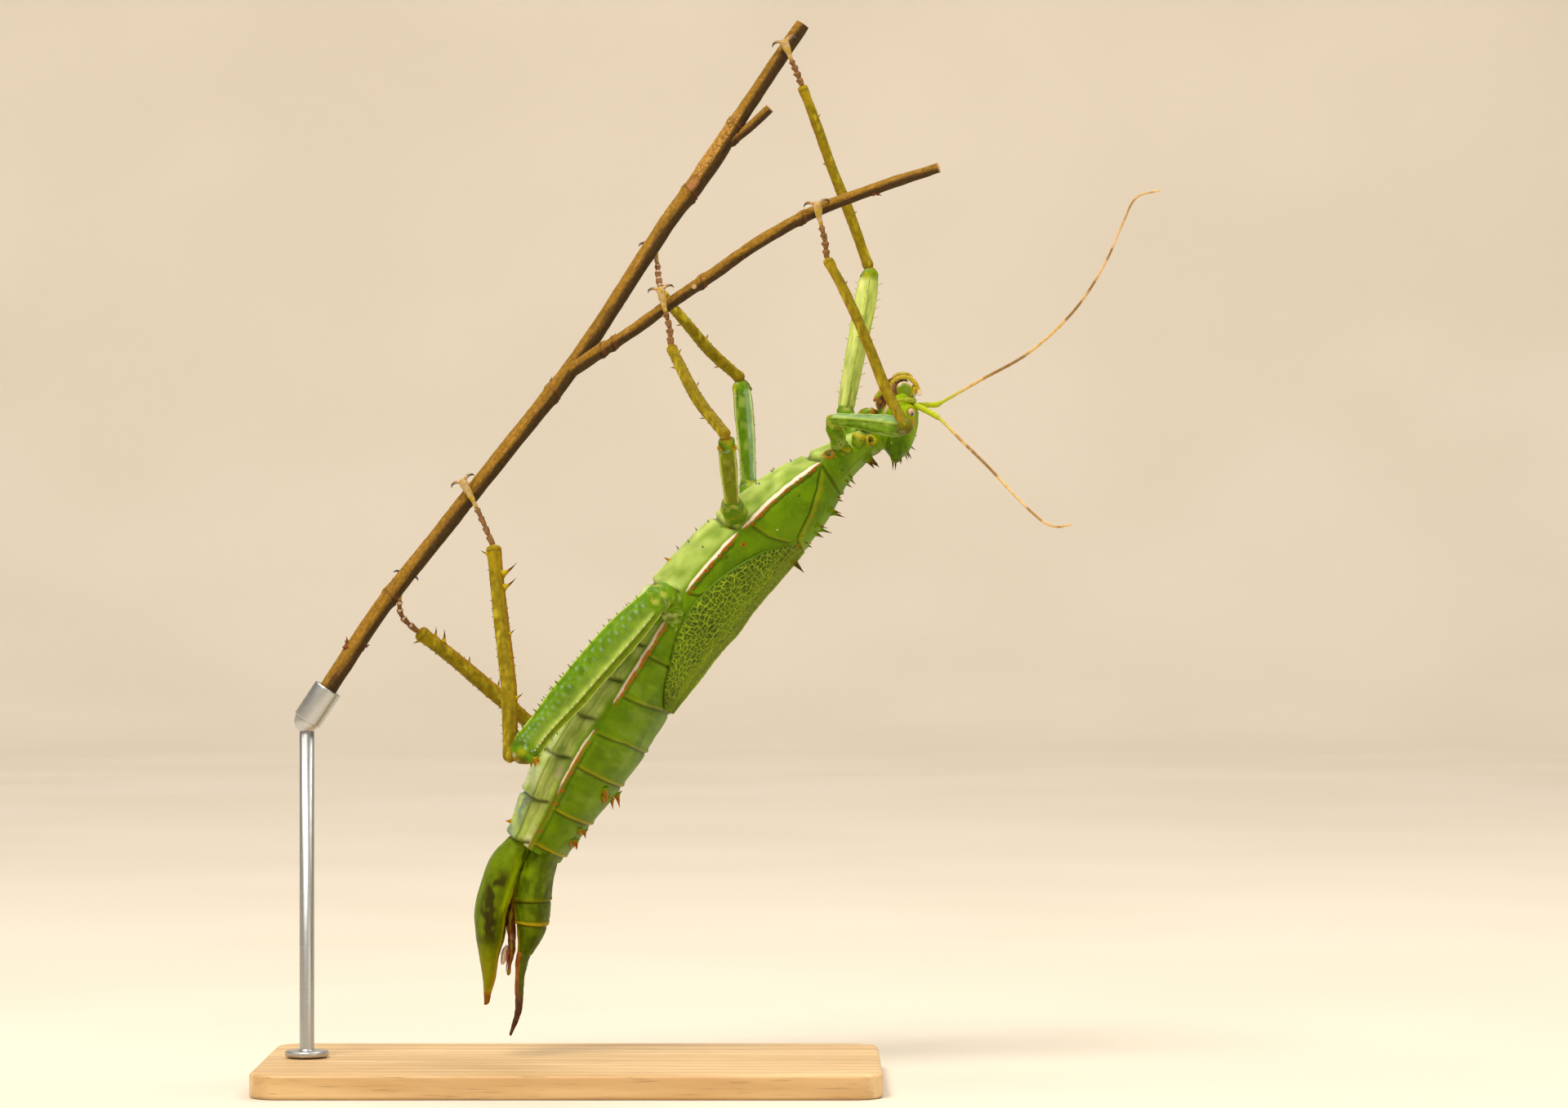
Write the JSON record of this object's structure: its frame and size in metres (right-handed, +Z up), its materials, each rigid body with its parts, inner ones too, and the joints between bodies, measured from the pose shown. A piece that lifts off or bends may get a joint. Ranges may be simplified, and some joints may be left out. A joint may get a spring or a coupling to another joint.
{
  "type": "stick insect",
  "caption": "Still life-size model of a green female jungle nymph stick insect clinging below a forked twig, which a flat wooden base holds on a short steel rod.",
  "frame": {"origin": "centre of the stand base's underside, which rests on the table", "axes": "+Z up; +X from the animal's tail to its head; +Y from its left side to its right side"},
  "size_m": [0.1832, 0.064, 0.2186],
  "materials": {
    "cuticle_green": "satin, leafy green cuticle, paler on the belly",
    "leg_green": "satin green with pale bluish ridges",
    "wing_green": "matt green with a net of raised pale veins",
    "tibia_olive": "satin olive yellow, brown towards the back edge",
    "tarsus_brown": "satin brown with a paler last joint and dark claws",
    "antenna_straw": "satin straw with brown rings",
    "eye_pink": "glossy pinkish white with a dark spot",
    "mouth_yellow": "glossy yellow green with brown and orange edges",
    "tail_brown": "satin brown, green towards the body",
    "bark": "ridged olive brown bark",
    "oak": "oiled pale oak",
    "steel": "brushed"
  },
  "bodies": {
    "root": {"prothorax": "cuticle_green", "mesothorax": "cuticle_green", "metathorax": "cuticle_green", "abdomen_1": "cuticle_green", "abdomen_2": "cuticle_green", "abdomen_3": "cuticle_green", "abdomen_4": "cuticle_green", "abdomen_5": "cuticle_green", "abdomen_6": "cuticle_green", "abdomen_7": "cuticle_green", "tegmen_left": "wing_green", "tegmen_right": "wing_green", "hind_wings": "wing_green", "eye_left": "eye_pink", "eye_right": "eye_pink", "mouthparts": "mouth_yellow", "head": "cuticle_green", "palps_left": "mouth_yellow", "palps_right": "mouth_yellow", "antenna_left": "antenna_straw", "antenna_right": "antenna_straw", "abdomen_8": "cuticle_green", "abdomen_9": "cuticle_green", "abdomen_10": "cuticle_green", "beak": "tail_brown", "subgenital_plate": "cuticle_green", "inner_valves": "tail_brown", "coxa_fore_left": "leg_green", "femur_fore_left": "leg_green", "tibia_fore_left": "tibia_olive", "tarsus_fore_left": "tarsus_brown", "coxa_fore_right": "leg_green", "femur_fore_right": "leg_green", "tibia_fore_right": "tibia_olive", "tarsus_fore_right": "tarsus_brown", "coxa_mid_left": "leg_green", "femur_mid_left": "leg_green", "tibia_mid_left": "tibia_olive", "tarsus_mid_left": "tarsus_brown", "coxa_mid_right": "leg_green", "femur_mid_right": "leg_green", "tibia_mid_right": "tibia_olive", "tarsus_mid_right": "tarsus_brown", "coxa_hind_left": "leg_green", "femur_hind_left": "leg_green", "tibia_hind_left": "tibia_olive", "tarsus_hind_left": "tarsus_brown", "coxa_hind_right": "leg_green", "femur_hind_right": "leg_green", "tibia_hind_right": "tibia_olive", "tarsus_hind_right": "tarsus_brown", "perch_stem": "bark", "perch_branch": "bark", "stand_base": "oak", "stand_rod": "steel"}
  },
  "joints": []
}
